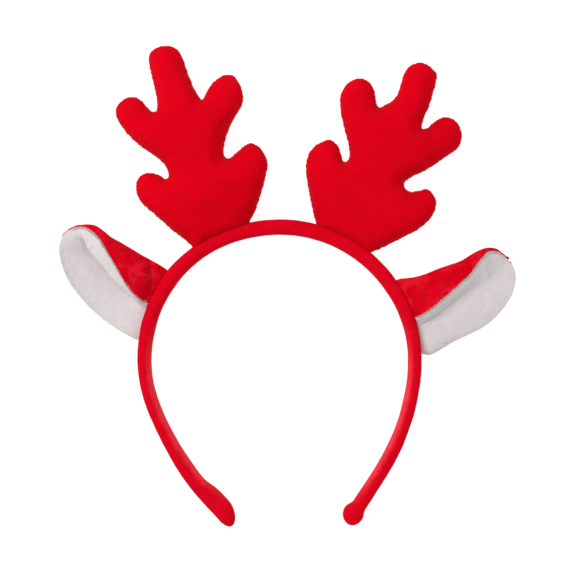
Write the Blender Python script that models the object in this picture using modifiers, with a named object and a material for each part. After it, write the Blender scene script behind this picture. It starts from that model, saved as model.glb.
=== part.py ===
"""Reindeer antler headband.

A padded velour hoop that springs over the head, with two stuffed antlers and two folded,
lined ears sewn to its outer face. It lies on its back: the picture of it is the XY plane,
+Y runs from the crown to the antler tips, and +Z is the front.
The origin is on the hoop's flat back, in the middle of the crown.
"""
import math
from collections import namedtuple

import bmesh
import bpy
import numpy as np
from mathutils import Vector, geometry

# Hoop, in metres and radians; left and right as the picture shows them
CROWN_RADIUS = 0.0659
CROWN_THICKNESS = 0.0070
ARM_THICKNESS = 0.0054
CROWN_DEPTH = 0.0135
ARM_DEPTH = 0.0120
EDGE_ROUNDING = 0.0023
LEFT_CROWN_ANGLE = math.radians(111.1)
RIGHT_CROWN_ANGLE = math.radians(88.2)
LEFT_ARM_RADIUS = 0.1377
RIGHT_ARM_RADIUS = 0.0967
LEFT_ARM_LENGTH = 0.0556
RIGHT_ARM_LENGTH = 0.0595
LEFT_TIP_LENGTH = 0.0128
RIGHT_TIP_LENGTH = 0.0297
LEFT_NECK_THICKNESS = 0.0063
RIGHT_NECK_THICKNESS = 0.0056
LEFT_BULGE_LENGTH = 0.0262
RIGHT_BULGE_LENGTH = 0.0100
LEFT_BULGE_RISE = 0.0095
RIGHT_BULGE_RISE = 0.0045
LEFT_TIP_WIDTH = 0.0088
RIGHT_TIP_WIDTH = 0.0092
LEFT_CAP_LENGTH = 0.0080
RIGHT_CAP_LENGTH = 0.0047
LEFT_TIP_SHIFT = 0.0011
RIGHT_TIP_SHIFT = 0.0002

# How round the hoop's section is at its tips, and how far the tips turn back, as shares
BULGE_ROUNDING = 0.42
CAP_TURNS_BACK = 1.6
MOST_ROUNDING = 0.95

# Antlers: heights above the crown, thickness through the stuffing
LEFT_ANTLER_HEIGHT = 0.0950
RIGHT_ANTLER_HEIGHT = 0.0930
ANTLER_SPREAD = 0.0640
TINE_WIDTH = 0.0160
ANTLER_FRONT = 0.0125
ANTLER_BACK = 0.0105
LEFT_ANTLER_SEAT = math.radians(-24.7)
RIGHT_ANTLER_SEAT = math.radians(27.8)
LEFT_ANTLER_LEAN = math.radians(-18.1)
RIGHT_ANTLER_LEAN = math.radians(25.6)

# Ears: length out from the hoop, width across the leaf, depth from back to folded front
LEFT_EAR_LENGTH = 0.0520
RIGHT_EAR_LENGTH = 0.0532
LEFT_EAR_WIDTH = 0.0387
RIGHT_EAR_WIDTH = 0.0410
EAR_DEPTH = 0.0175
EAR_SHELL_WALL = 0.0015
EAR_LINING_WALL = 0.0020
EAR_RIM = 0.0030
EAR_HEM = 0.0010
LEFT_EAR_SEAT = math.radians(-66.0)
RIGHT_EAR_SEAT = math.radians(70.4)
LEFT_EAR_LEAN = math.radians(-56.6)
RIGHT_EAR_LEAN = math.radians(65.9)
LEFT_EAR_SLANT = 0.20
RIGHT_EAR_SLANT = 0.03
SLANT_ENDS = 0.35

# Stuffing: how blunt its edge is, how full it is at the foot, and how flat it rests on its back
STUFFING_POWER = 0.44
FOOT_FULLNESS_FRONT = 0.72
FOOT_FULLNESS_BACK = 0.60
RESTING_SHARE = 0.94
MID_RISE_START = 0.10
MID_RISE_END = 0.45

# Fit: the gap along every seam, and the reach of the cutter that keeps it
SEWN_GAP = 0.0003
CUT_ABOVE = 0.0450
CUT_BELOW = 0.0040
CUT_PAST_HOOP = 0.0040
CUT_REACH = math.radians(110.0)
CUT_STEPS = 72

# Fineness of the hoop's stations and of the antlers' net
ARM_STEP = 0.0066
BULGE_STEPS = 5
CAP_TURNS = tuple(math.radians(angle) for angle in (0, 24, 46, 66, 82))
MESH_STEP = 0.0042
ARC_STEP = math.radians(20.0)
SMALL_TURN = 0.3
ROW_HEIGHT = math.sqrt(0.75)

# Rows of the net, as shares of its step: how far in, how clear of the outline, how far apart
NetRow = namedtuple("NetRow", "inset margin spacing")
EDGE_ROWS = (NetRow(0.28, 0.85, 0.50), NetRow(0.85, 0.85, 0.65))
NET = NetRow(0.0, 1.30, 0.75)

Arm = namedtuple("Arm", "side crown_angle radius length tip_length neck_thickness "
                        "bulge_length bulge_rise tip_width cap_length tip_shift")
LEFT_ARM = Arm(-1, LEFT_CROWN_ANGLE, LEFT_ARM_RADIUS, LEFT_ARM_LENGTH, LEFT_TIP_LENGTH,
               LEFT_NECK_THICKNESS, LEFT_BULGE_LENGTH, LEFT_BULGE_RISE,
               LEFT_TIP_WIDTH, LEFT_CAP_LENGTH, LEFT_TIP_SHIFT)
RIGHT_ARM = Arm(1, RIGHT_CROWN_ANGLE, RIGHT_ARM_RADIUS, RIGHT_ARM_LENGTH, RIGHT_TIP_LENGTH,
                RIGHT_NECK_THICKNESS, RIGHT_BULGE_LENGTH, RIGHT_BULGE_RISE,
                RIGHT_TIP_WIDTH, RIGHT_CAP_LENGTH, RIGHT_TIP_SHIFT)

# An antler's outline is a ring of circles joined by their common tangents, anticlockwise.
# across is a share of the spread, up of the height, radius of the tine width; a crotch
# between two tines has a negative radius.
Lobe = namedtuple("Lobe", "name across up radius")
LEFT_LOBES = (
    Lobe("foot_inner", 0.200, -0.031, 0.09),
    Lobe("flank_inner", 0.302, 0.159, 0.37),
    Lobe("lower_inner_tine", 0.402, 0.312, 0.47),
    Lobe("inner_crotch", 0.241, 0.376, -0.14),
    Lobe("upper_inner_tine", 0.381, 0.680, 0.51),
    Lobe("top_inner_crotch", 0.184, 0.691, -0.06),
    Lobe("top_tine", -0.003, 0.917, 0.50),
    Lobe("top_outer_crotch", -0.189, 0.715, -0.09),
    Lobe("upper_outer_tine", -0.364, 0.728, 0.47),
    Lobe("outer_elbow", -0.389, 0.669, 0.31),
    Lobe("outer_crotch", -0.272, 0.367, -0.09),
    Lobe("lower_outer_tine", -0.408, 0.344, 0.39),
    Lobe("flank_outer", -0.381, 0.267, 0.37),
    Lobe("foot_outer", -0.208, -0.027, 0.09),
)
RIGHT_LOBES = (
    Lobe("foot_outer", 0.231, -0.014, 0.09),
    Lobe("flank_outer", 0.422, 0.214, 0.31),
    Lobe("lower_outer_tine", 0.430, 0.340, 0.40),
    Lobe("outer_crotch", 0.278, 0.386, -0.16),
    Lobe("outer_elbow", 0.397, 0.700, 0.31),
    Lobe("upper_outer_tine", 0.344, 0.709, 0.51),
    Lobe("top_outer_crotch", 0.181, 0.697, -0.06),
    Lobe("top_tine", 0.000, 0.916, 0.49),
    Lobe("top_inner_hollow", -0.206, 0.810, -0.38),
    Lobe("top_inner_crotch", -0.209, 0.715, -0.09),
    Lobe("upper_inner_tine", -0.375, 0.692, 0.54),
    Lobe("inner_crotch", -0.250, 0.370, -0.09),
    Lobe("lower_inner_tine", -0.397, 0.322, 0.54),
    Lobe("flank_inner", -0.303, 0.133, 0.40),
    Lobe("foot_inner", -0.190, -0.033, 0.09),
)

# An ear is a row of cross-sections: out is a share of its length; low, valley, seam and top
# are places across it, as shares of its width; the rest are heights, as shares of its depth.
Section = namedtuple("Section", "out low valley seam top low_z valley_z top_z seam_z")
LEFT_SECTIONS = (
    Section(-0.10, -0.48, -0.06, -0.02, 0.41, 0.34, 0.15, 0.36, 0.60),
    Section(0.00, -0.51, -0.06, -0.02, 0.41, 0.34, 0.15, 0.36, 0.62),
    Section(0.13, -0.52, -0.05, -0.01, 0.41, 0.35, 0.13, 0.38, 0.70),
    Section(0.28, -0.52, -0.02, 0.05, 0.40, 0.37, 0.13, 0.42, 0.80),
    Section(0.43, -0.49, 0.01, 0.13, 0.39, 0.40, 0.13, 0.46, 0.90),
    Section(0.58, -0.45, 0.05, 0.22, 0.38, 0.44, 0.15, 0.50, 0.97),
    Section(0.73, -0.37, 0.06, 0.30, 0.38, 0.48, 0.19, 0.57, 1.00),
    Section(0.87, -0.26, 0.05, 0.36, 0.35, 0.54, 0.34, 0.64, 0.93),
    Section(0.95, -0.16, 0.05, 0.32, 0.25, 0.60, 0.50, 0.65, 0.80),
    Section(1.00, -0.05, 0.05, 0.24, 0.15, 0.66, 0.62, 0.66, 0.71),
)
RIGHT_SECTIONS = (
    Section(-0.10, -0.43, -0.05, -0.06, 0.40, 0.34, 0.15, 0.36, 0.62),
    Section(-0.02, -0.50, -0.05, -0.06, 0.40, 0.34, 0.15, 0.36, 0.64),
    Section(0.06, -0.56, -0.04, -0.05, 0.39, 0.35, 0.13, 0.38, 0.72),
    Section(0.22, -0.55, -0.03, -0.02, 0.35, 0.36, 0.13, 0.40, 0.80),
    Section(0.38, -0.54, -0.02, 0.04, 0.33, 0.38, 0.13, 0.43, 0.88),
    Section(0.54, -0.52, 0.00, 0.11, 0.31, 0.42, 0.15, 0.47, 0.95),
    Section(0.70, -0.45, 0.01, 0.21, 0.31, 0.46, 0.19, 0.54, 1.00),
    Section(0.85, -0.35, 0.00, 0.30, 0.28, 0.52, 0.34, 0.63, 0.93),
    Section(0.94, -0.24, -0.01, 0.25, 0.18, 0.58, 0.50, 0.64, 0.80),
    Section(1.00, -0.11, -0.02, 0.15, 0.07, 0.64, 0.60, 0.64, 0.69),
)

# Creases in an ear's folded front: from (out, across) to (out, across), as shares of its
# length and width; sink is a share of its depth, spread of its width.
Crease = namedtuple("Crease", "out_from across_from out_to across_to sink spread")
LEFT_CREASES = (
    Crease(0.21, 0.44, 0.06, 0.12, 0.10, 0.07),
    Crease(0.44, 0.42, 0.36, 0.28, 0.05, 0.06),
)
RIGHT_CREASES = (
    Crease(0.44, 0.34, 0.16, 0.06, 0.10, 0.07),
    Crease(0.10, 0.38, 0.12, 0.28, 0.07, 0.05),
)
EAR_LENGTHWISE_STEPS = 17
EAR_BACK_STEPS = 4
EAR_FLAP_STEPS = 5
TIP_CROWDING = 1.25
RIM_COLUMNS = 3

# How the fold opens out towards the tip, and where the cloth thins
FOLD_OPENS = 0.45
CREST_AT_FOOT = math.radians(90.0)
CREST_AT_TIP = math.radians(30.0)
SEAM_AT_FOOT = math.radians(180.0)
SEAM_AT_TIP = math.radians(55.0)
TIP_FULLNESS = 0.70
RIM_FULLNESS = 0.60
ROLL_AT_TIP = 0.35

# The lining's rim rolls over past the seam: how far out and down, as shares of the rim
RIM_ROLL = ((0.55, 0.10), (1.00, 0.45))

# Handles of an ear section's curves, as shares of the run or climb beside them
BACK_HANDLE = 0.35
BACK_SAG = 0.25
TIP_HANDLE = 0.35
CREST_REACH_AT_FOOT = 0.80
CREST_REACH_AT_TIP = 0.45
CLIMB_HANDLE = 0.80
RISE_HANDLE = 0.75
FRONT_HANDLE = 0.80

Piece = namedtuple("Piece", "name seat lean length width rows creases slant")
LEFT_EAR = Piece("left_ear", LEFT_EAR_SEAT, LEFT_EAR_LEAN, LEFT_EAR_LENGTH, LEFT_EAR_WIDTH,
                 LEFT_SECTIONS, LEFT_CREASES, LEFT_EAR_SLANT)
RIGHT_EAR = Piece("right_ear", RIGHT_EAR_SEAT, RIGHT_EAR_LEAN, RIGHT_EAR_LENGTH, RIGHT_EAR_WIDTH,
                  RIGHT_SECTIONS, RIGHT_CREASES, RIGHT_EAR_SLANT)

MATERIALS = {
    "red_velour_band": ((0.70, 0.004, 0.013, 1.0), 0.80),
    "red_velour_antler": ((0.74, 0.002, 0.009, 1.0), 0.85),
    "red_velour_ear": ((0.60, 0.002, 0.010, 1.0), 0.85),
    "white_plush": ((0.76, 0.72, 0.72, 1.0), 0.95),
}


def clear_scene():
    for item in list(bpy.data.objects):
        bpy.data.objects.remove(item, do_unlink=True)


def make_collection(name):
    collection = bpy.data.collections.new(name)
    bpy.context.scene.collection.children.link(collection)
    return collection


def make_material(name):
    color, roughness = MATERIALS[name]
    material = bpy.data.materials.new(name)
    material.use_nodes = True
    shader = material.node_tree.nodes["Principled BSDF"]
    shader.inputs["Base Color"].default_value = color
    shader.inputs["Roughness"].default_value = roughness
    shader.inputs["Metallic"].default_value = 0.0
    material.diffuse_color = color
    return material


def add_object(name, points, faces, collection, material=None):
    mesh = bpy.data.meshes.new(name)
    mesh.from_pydata([tuple(point) for point in points], [], faces)
    mesh.validate()
    body = bpy.data.objects.new(name, mesh)
    collection.objects.link(body)
    if material:
        mesh.materials.append(make_material(material))
    mesh.shade_smooth()
    return body


def smooth(share):
    share = min(max(share, 0.0), 1.0)
    return share * share * (3.0 - 2.0 * share)


def mix(start, end, share):
    return start + (end - start) * share


def loft(rings):
    """Points and faces of a closed body through rings of equal size, capped at both ends."""
    size = len(rings[0])
    points = [point for ring in rings for point in ring]
    faces = []
    for row in range(len(rings) - 1):
        for column in range(size):
            following = (column + 1) % size
            a = row * size + column
            b = row * size + following
            faces.append((a, b, b + size, a + size))
    faces.append(tuple(reversed(range(size))))
    last = (len(rings) - 1) * size
    faces.append(tuple(range(last, last + size)))
    return points, faces


def face_outward(body):
    work = bmesh.new()
    work.from_mesh(body.data)
    bmesh.ops.recalc_face_normals(work, faces=work.faces)
    work.to_mesh(body.data)
    work.free()


def hoop_point(arm, distance):
    """Centre line point and outward normal, this far down one arm from the crown."""
    crown_length = CROWN_RADIUS * arm.crown_angle
    angle = min(distance, crown_length) / CROWN_RADIUS
    normal = Vector((math.sin(angle), math.cos(angle)))
    point = normal * CROWN_RADIUS - Vector((0.0, CROWN_RADIUS))
    if distance > crown_length:
        centre = point - normal * arm.radius
        along_arm = min(distance - crown_length, arm.length)
        angle += along_arm / arm.radius
        normal = Vector((math.sin(angle), math.cos(angle)))
        point = centre + normal * arm.radius
        straight = max(0.0, distance - crown_length - arm.length)
        point += Vector((math.cos(angle), -math.sin(angle))) * straight
    return Vector((arm.side * point.x, point.y)), Vector((arm.side * normal.x, normal.y))


def thinning(arm, distance):
    """From 0 on the crown to 1 on the arm, where the hoop is at its thinnest."""
    return smooth(distance / (CROWN_RADIUS * arm.crown_angle))


def hoop_width(arm, distance):
    """Thickness of the hoop in the picture's plane, short of the bulge at its tip."""
    crown_length = CROWN_RADIUS * arm.crown_angle
    neck = arm_total(arm) - arm.bulge_length
    growth = smooth((distance - crown_length) / (neck - crown_length))
    width = mix(CROWN_THICKNESS, ARM_THICKNESS, thinning(arm, distance))
    return mix(width, arm.neck_thickness, growth)


def outer_point(angle, offset):
    """Point this far outside the hoop's outer face, at this angle from the top of the crown."""
    arm = LEFT_ARM if angle < 0 else RIGHT_ARM
    distance = CROWN_RADIUS * abs(angle)
    point, normal = hoop_point(arm, distance)
    return point + normal * (hoop_width(arm, distance) / 2 + offset)


def arm_total(arm):
    return CROWN_RADIUS * arm.crown_angle + arm.length + arm.tip_length


def arm_stations(arm):
    """Distances from the crown to the tip: even along the arm, closer round the tip."""
    total = arm_total(arm)
    bulge = total - arm.bulge_length
    cap = total - arm.cap_length
    even = max(2, round(bulge / ARM_STEP))
    distances = [bulge * index / even for index in range(even)]
    distances += [mix(bulge, cap, index / BULGE_STEPS) for index in range(BULGE_STEPS)]
    distances += [cap + arm.cap_length * math.sin(turn) for turn in CAP_TURNS]
    return distances


def band_section(arm, distance):
    """Twelve points of the rounded section of the hoop at one station."""
    total = arm_total(arm)
    depth = mix(CROWN_DEPTH, ARM_DEPTH, thinning(arm, distance))
    swell = smooth((distance - (total - arm.bulge_length)) / arm.bulge_rise)
    width = mix(hoop_width(arm, distance), arm.tip_width, swell)
    rounding = mix(EDGE_ROUNDING, BULGE_ROUNDING * arm.tip_width, swell)
    past = max(0.0, distance - (total - arm.cap_length)) / arm.cap_length
    shrink = math.sqrt(max(0.0, 1.0 - past * past))
    middle = depth / 2
    half_depth = depth / 2 - arm.tip_width / 2 * (1.0 - shrink)
    half_width = width / 2 * shrink
    rounding = min(rounding, half_width * MOST_ROUNDING, half_depth * MOST_ROUNDING)
    point, normal = hoop_point(arm, distance)
    point = point - normal * arm.tip_shift * swell * (1.0 - CAP_TURNS_BACK * past)
    ring = []
    for corner, (across, deep) in enumerate(((1, 1), (-1, 1), (-1, -1), (1, -1))):
        for turn in (0, 45, 90):
            angle = math.radians(90 * corner + turn)
            out = across * (half_width - rounding) + rounding * math.cos(angle)
            up = deep * (half_depth - rounding) + rounding * math.sin(angle)
            place = point + normal * out
            ring.append(Vector((place.x, place.y, middle + up)))
    return ring


def build_headband(collection):
    left = [band_section(LEFT_ARM, distance) for distance in arm_stations(LEFT_ARM)]
    right = [band_section(RIGHT_ARM, distance) for distance in arm_stations(RIGHT_ARM)]
    rings = list(reversed(left)) + right[1:]
    points, faces = loft(rings)
    body = add_object("headband", points, faces, collection, "red_velour_band")
    face_outward(body)
    return body


def build_hoop_clearance(collection):
    """The room that the hoop takes, plus the sewn gap: what is sewn on is cut back by it."""
    inner = -CROWN_THICKNESS - CUT_PAST_HOOP
    rings = []
    for index in range(CUT_STEPS + 1):
        angle = mix(-CUT_REACH, CUT_REACH, index / CUT_STEPS)
        ring = []
        for offset, height in ((SEWN_GAP, CUT_ABOVE), (inner, CUT_ABOVE),
                               (inner, -CUT_BELOW), (SEWN_GAP, -CUT_BELOW)):
            place = outer_point(angle, offset)
            ring.append(Vector((place.x, place.y, height)))
        rings.append(ring)
    points, faces = loft(rings)
    cutter = add_object("hoop_clearance", points, faces, collection)
    face_outward(cutter)
    cutter.display_type = "WIRE"
    cutter.hide_render = True
    return cutter


def cut_back(body, cutter):
    cut = body.modifiers.new("sewn_foot", "BOOLEAN")
    cut.operation = "DIFFERENCE"
    cut.solver = "EXACT"
    cut.object = cutter


def tangent_direction(first, second):
    """Heading of the common tangent that keeps both circles on its left."""
    span = second[0] - first[0]
    heading = math.atan2(span.y, span.x)
    return heading - math.asin((second[1] - first[1]) / span.length)


def lobe_outline(circles):
    """Closed outline round circles joined by tangents, with long straights divided."""
    count = len(circles)
    headings = [tangent_direction(circles[i], circles[(i + 1) % count]) for i in range(count)]
    outline = []
    for index, (centre, radius) in enumerate(circles):
        turn = headings[index] - headings[index - 1]
        turn = (turn + math.pi) % (2 * math.pi) - math.pi
        if radius > 0 and turn < -SMALL_TURN:
            turn += 2 * math.pi
        if radius < 0 and turn > SMALL_TURN:
            turn -= 2 * math.pi
        steps = max(1, math.ceil(abs(turn) / ARC_STEP))
        for step in range(steps + 1):
            heading = headings[index - 1] + turn * step / steps
            side = Vector((math.sin(heading), -math.cos(heading)))
            outline.append(centre + side * radius)
    divided = []
    for index, point in enumerate(outline):
        following = outline[(index + 1) % len(outline)]
        pieces = max(1, round((following - point).length / MESH_STEP))
        divided += [point.lerp(following, step / pieces) for step in range(pieces)]
    return divided


def distance_to_outline(point, outline):
    nearest = math.inf
    for index, start in enumerate(outline):
        end = outline[(index + 1) % len(outline)]
        foot, share = geometry.intersect_point_line(point, start, end)
        if share < 0.0:
            foot = start.to_3d()
        if share > 1.0:
            foot = end.to_3d()
        nearest = min(nearest, (foot.to_2d() - point).length)
    return nearest


def inside(point, outline):
    crossings = 0
    for index, start in enumerate(outline):
        end = outline[(index + 1) % len(outline)]
        if (start.y > point.y) != (end.y > point.y):
            reach = (point.y - start.y) / (end.y - start.y)
            crossings += point.x < mix(start.x, end.x, reach)
    return crossings % 2 == 1


def inner_points(outline):
    """Points inside an outline: two rows that follow it, then an even net."""
    candidates = []
    for row in EDGE_ROWS:
        inset = row.inset * MESH_STEP
        for index, point in enumerate(outline):
            before = outline[index - 1]
            after = outline[(index + 1) % len(outline)]
            along = (after - before).normalized()
            place = point + Vector((-along.y, along.x)) * inset
            candidates.append((place, row.margin * inset, row.spacing * MESH_STEP))
    low_x = min(point.x for point in outline)
    low_y = min(point.y for point in outline)
    high_x = max(point.x for point in outline)
    high_y = max(point.y for point in outline)
    rows = int((high_y - low_y) / (MESH_STEP * ROW_HEIGHT)) + 1
    columns = int((high_x - low_x) / MESH_STEP) + 1
    for row in range(rows):
        for column in range(columns):
            place = Vector((low_x + MESH_STEP * (column + 0.5 * (row % 2)),
                            low_y + MESH_STEP * ROW_HEIGHT * row))
            candidates.append((place, NET.margin * MESH_STEP, NET.spacing * MESH_STEP))
    kept = []
    for place, margin, spacing in candidates:
        if not inside(place, outline):
            continue
        if any((place - other).length < spacing for other in kept):
            continue
        if distance_to_outline(place, outline) < margin:
            continue
        kept.append(place)
    return kept


def stretched_skin(points, triangles, edge_count):
    """Height share at each point of a skin that is held at its edge and blown up evenly."""
    total = len(points)
    stiffness = np.zeros((total, total))
    load = np.zeros(total)
    for triangle in triangles:
        corners = [np.array(points[index]) for index in triangle]
        edge_one = corners[1] - corners[0]
        edge_two = corners[2] - corners[0]
        area = 0.5 * abs(edge_one[0] * edge_two[1] - edge_one[1] * edge_two[0])
        slopes = []
        for corner in range(3):
            opposite = corners[(corner + 2) % 3] - corners[(corner + 1) % 3]
            slopes.append(np.array((-opposite[1], opposite[0])) / (2 * area))
        for one in range(3):
            load[triangle[one]] += area / 3
            for two in range(3):
                stiffness[triangle[one], triangle[two]] += area * slopes[one] @ slopes[two]
    heights = np.zeros(total)
    free = slice(edge_count, total)
    heights[free] = np.linalg.solve(stiffness[free, free], load[free])
    return (np.maximum(heights, 0.0) / heights.max()) ** STUFFING_POWER


def build_antler(name, seat, lean, height, lobes, cutter, collection):
    """Two stuffed faces on one outline, rising from the hoop's mid-depth to clear the floor."""
    circles = []
    for lobe in lobes:
        place = Vector((lobe.across * ANTLER_SPREAD, lobe.up * height))
        circles.append((place, lobe.radius * TINE_WIDTH))
    outline = lobe_outline(circles)
    flat = outline + inner_points(outline)
    edge_count = len(outline)
    result = geometry.delaunay_2d_cdt(flat, [], [list(range(edge_count))], 1, 1e-9)
    points = result[0]
    triangles = [tuple(face) for face in result[2]]
    share = stretched_skin(points, triangles, edge_count)
    origin = outer_point(seat, 0.0)
    upward = Vector((math.sin(lean), math.cos(lean)))
    across = Vector((upward.y, -upward.x))
    places = []
    for level in (1, -1):
        for index, point in enumerate(points):
            if level < 0 and index < edge_count:
                continue
            rise = smooth((point.y / height - MID_RISE_START) / (MID_RISE_END - MID_RISE_START))
            middle = mix(CROWN_DEPTH / 2, ANTLER_BACK * RESTING_SHARE, rise)
            if level > 0:
                reach = ANTLER_FRONT * mix(FOOT_FULLNESS_FRONT, 1.0, rise)
            else:
                reach = -ANTLER_BACK * mix(FOOT_FULLNESS_BACK, 1.0, rise)
            place = origin + across * point.x + upward * point.y
            places.append(Vector((place.x, place.y, max(0.0, middle + reach * share[index]))))
    behind = len(points) - edge_count
    faces = list(triangles)
    for a, b, c in triangles:
        back = [index if index < edge_count else index + behind for index in (a, c, b)]
        faces.append(tuple(back))
    body = add_object(name, places, faces, collection, "red_velour_antler")
    face_outward(body)
    cut_back(body, cutter)
    return body


def curve_through(values, shares, share):
    """Smooth value at a share of the way along rows that are unevenly spaced."""
    last = len(shares) - 1
    index = 0
    while index < last - 1 and share > shares[index + 1]:
        index += 1
    start = shares[index]
    end = shares[index + 1]
    slopes = []
    for at in (index, index + 1):
        low = max(at - 1, 0)
        high = min(at + 1, last)
        slopes.append((values[high] - values[low]) / (shares[high] - shares[low]))
    local = (share - start) / (end - start)
    gap = end - start
    square = local * local
    cube = square * local
    return ((2 * cube - 3 * square + 1) * values[index] + (cube - 2 * square + local) * gap * slopes[0]
            + (3 * square - 2 * cube) * values[index + 1] + (cube - square) * gap * slopes[1])


def bezier(corners, share):
    a, b, c, d = corners
    rest = 1.0 - share
    return a * rest ** 3 + b * 3 * rest * rest * share + c * 3 * rest * share * share + d * share ** 3


def section_curve(row):
    """Points (across, up) of one ear section: rim, hem, back, crest, folded front, seam, roll."""
    low = Vector((row.low + EAR_HEM, row.low_z))
    valley = Vector((row.valley, row.valley_z))
    top = Vector((row.top, row.top_z))
    seam = Vector((row.seam, row.seam_z))
    opening = smooth((row.out - FOLD_OPENS) / (1.0 - FOLD_OPENS))
    crest_turn = mix(CREST_AT_FOOT, CREST_AT_TIP, opening)
    seam_turn = mix(SEAM_AT_FOOT, SEAM_AT_TIP, opening)
    upright = Vector((math.cos(crest_turn), math.sin(crest_turn)))
    heading = Vector((math.cos(seam_turn), math.sin(seam_turn)))
    run = valley.x - low.x
    climb = mix(CLIMB_HANDLE * (top.y - valley.y), TIP_HANDLE * (top - valley).length, opening)
    rise = mix(RISE_HANDLE * (seam.y - top.y), TIP_HANDLE * (seam - top).length, opening)
    reach = mix(FRONT_HANDLE * (top.x - seam.x), TIP_HANDLE * (seam - top).length, opening)
    crest_reach = mix(CREST_REACH_AT_FOOT, CREST_REACH_AT_TIP, opening)
    back = (low, Vector((low.x + BACK_HANDLE * run, mix(valley.y, low.y, BACK_SAG))),
            Vector((valley.x - BACK_HANDLE * run, valley.y)), valley)
    crest = (valley, Vector((mix(valley.x, top.x, crest_reach), valley.y)),
             top - upright * climb, top)
    front = (top, top + upright * rise, seam - heading * reach, seam)
    curve = [low - (back[1] - back[0]).normalized() * EAR_HEM]
    curve += [bezier(back, step / EAR_BACK_STEPS) for step in range(EAR_BACK_STEPS)]
    curve += [bezier(crest, step / EAR_BACK_STEPS) for step in range(EAR_BACK_STEPS)]
    curve += [bezier(front, step / EAR_FLAP_STEPS) for step in range(EAR_FLAP_STEPS + 1)]
    roll = EAR_RIM * mix(1.0, ROLL_AT_TIP, opening)
    for out, down in RIM_ROLL:
        curve.append(seam + heading * out * roll - Vector((0.0, down * roll)))
    return curve


def crease_sink(ear, out, across):
    """How far the folded front is pressed in at one place."""
    sink = 0.0
    for crease in ear.creases:
        start = Vector((crease.out_from * ear.length, crease.across_from * ear.width))
        end = Vector((crease.out_to * ear.length, crease.across_to * ear.width))
        place = Vector((out, across))
        foot, share = geometry.intersect_point_line(place, start, end)
        share = min(max(share, 0.0), 1.0)
        away = (place - start.lerp(end, share)).length
        sink += crease.sink * EAR_DEPTH * math.exp(-(away / (crease.spread * ear.width)) ** 2)
    return sink


def ear_sheet(ear):
    """Grid of places where the ear's two layers meet, from the hoop out to the tip."""
    shares = [row.out for row in ear.rows]
    origin = outer_point(ear.seat, 0.0)
    outward = Vector((math.sin(ear.lean), math.cos(ear.lean)))
    turn = -1.0 if ear.lean < 0 else 1.0
    across_axis = Vector((-turn * outward.y, turn * outward.x))
    crest_column = 1 + 2 * EAR_BACK_STEPS
    grid = []
    for step in range(EAR_LENGTHWISE_STEPS + 1):
        along = step / EAR_LENGTHWISE_STEPS
        out = mix(shares[0], 1.0, 1.0 - (1.0 - along) ** TIP_CROWDING)
        measures = [curve_through(values, shares, out) for values in list(zip(*ear.rows))[1:]]
        sizes = [value * ear.width for value in measures[:4]]
        sizes += [value * EAR_DEPTH for value in measures[4:]]
        row = Section(out, *sizes)
        line = []
        for column, point in enumerate(section_curve(row)):
            lean_back = ear.slant * point.x * max(0.0, 1.0 - max(out, 0.0) / SLANT_ENDS)
            reach = out * ear.length + lean_back
            height = point.y
            if column > crest_column:
                from_crest = (column - crest_column) / RIM_COLUMNS
                height -= crease_sink(ear, reach, point.x) * smooth(from_crest)
            place = origin + outward * reach + across_axis * point.x
            line.append(Vector((place.x, place.y, height)))
        grid.append(line)
    return grid


def sheet_normals(grid, turn):
    """Outward normal at each place of the sheet: away from the hollow of the ear."""
    normals = []
    for row, line in enumerate(grid):
        normals.append([])
        for column in range(len(line)):
            along = grid[min(row + 1, len(grid) - 1)][column] - grid[max(row - 1, 0)][column]
            around = line[min(column + 1, len(line) - 1)] - line[max(column - 1, 0)]
            normals[-1].append((along.cross(around) * turn).normalized())
    return normals


def build_ear_layer(name, ear, sheet, wall, shift, side, material, cutter, collection):
    """One cloth layer of an ear: an open sheet, thickened away from the other layer.

    The layer is thinner towards the tip and at its rim.
    """
    turn = -1.0 if ear.lean > 0 else 1.0
    normals = sheet_normals(sheet, turn)
    columns = len(sheet[0])
    points = []
    for line, line_normals in zip(sheet, normals):
        points += [place + normal * shift for place, normal in zip(line, line_normals)]
    faces = []
    for row in range(len(sheet) - 1):
        for column in range(columns - 1):
            a = row * columns + column
            face = (a, a + columns, a + columns + 1, a + 1)
            faces.append(face if turn > 0 else tuple(reversed(face)))
    body = add_object(name, points, faces, collection, material)
    thicken = body.modifiers.new("cloth_wall", "SOLIDIFY")
    thicken.thickness = wall
    thicken.offset = side
    thicken.use_even_offset = False
    thicken.use_quality_normals = True
    fullness = body.vertex_groups.new(name="fullness")
    for row in range(len(sheet)):
        tip_share = mix(1.0, TIP_FULLNESS, smooth(row / (len(sheet) - 1)))
        for column in range(columns):
            from_rim = columns - 1 - column
            share = tip_share * mix(RIM_FULLNESS, 1.0, smooth(from_rim / RIM_COLUMNS))
            fullness.add([row * columns + column], share, "REPLACE")
    thicken.vertex_group = fullness.name
    cut_back(body, cutter)
    return body


def build_ear(ear, cutter, collection):
    sheet = ear_sheet(ear)
    shell_sheet = [line[1:-2] for line in sheet]
    hem = [end + (end - before).normalized() * EAR_HEM for before, end in zip(sheet[-2], sheet[-1])]
    sheet.append(hem)
    build_ear_layer(ear.name + "_shell", ear, shell_sheet, EAR_SHELL_WALL, 0.0, 1.0,
                    "red_velour_ear", cutter, collection)
    build_ear_layer(ear.name + "_lining", ear, sheet, EAR_LINING_WALL, -SEWN_GAP, -1.0,
                    "white_plush", cutter, collection)


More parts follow.
